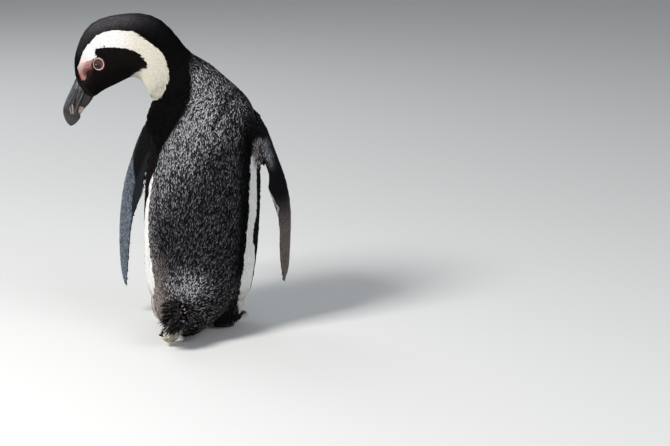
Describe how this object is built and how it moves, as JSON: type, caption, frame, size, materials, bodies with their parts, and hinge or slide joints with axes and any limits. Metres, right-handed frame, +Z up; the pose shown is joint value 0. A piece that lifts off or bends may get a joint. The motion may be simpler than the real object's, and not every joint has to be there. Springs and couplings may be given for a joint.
{
  "type": "african penguin model",
  "caption": "Life-size standing African penguin, its neck bent round to its left and its bill pointing down, as a museum model.",
  "frame": {"origin": "on the floor, under the centre of the bird's bounding box", "axes": "+Z is up; the body faces -Y with its left side towards +X; the head is turned to the left and points down"},
  "size_m": [0.2724, 0.238, 0.3685],
  "materials": {
    "plumage": "dense short feathers, black and white, slightly glossy",
    "flipper_plumage": "tiny scale-like feathers, slate black",
    "tail_quills": "stiff black-brown quills",
    "horn": "satin dark horn",
    "eye": "wet gloss",
    "foot_skin": "matte scaly skin"
  },
  "bodies": {
    "root": {"trunk": "plumage", "neck": "plumage", "head": "plumage", "leg_left": "plumage", "leg_right": "plumage", "tail": "tail_quills", "flipper_left": "flipper_plumage", "flipper_right": "flipper_plumage", "bill_upper": "horn", "bill_lower": "horn", "claw_inner_left": "horn", "claw_middle_left": "horn", "claw_outer_left": "horn", "claw_inner_right": "horn", "claw_middle_right": "horn", "claw_outer_right": "horn", "eye_left": "eye", "eye_right": "eye", "foot_left": "foot_skin", "foot_right": "foot_skin"}
  },
  "joints": []
}
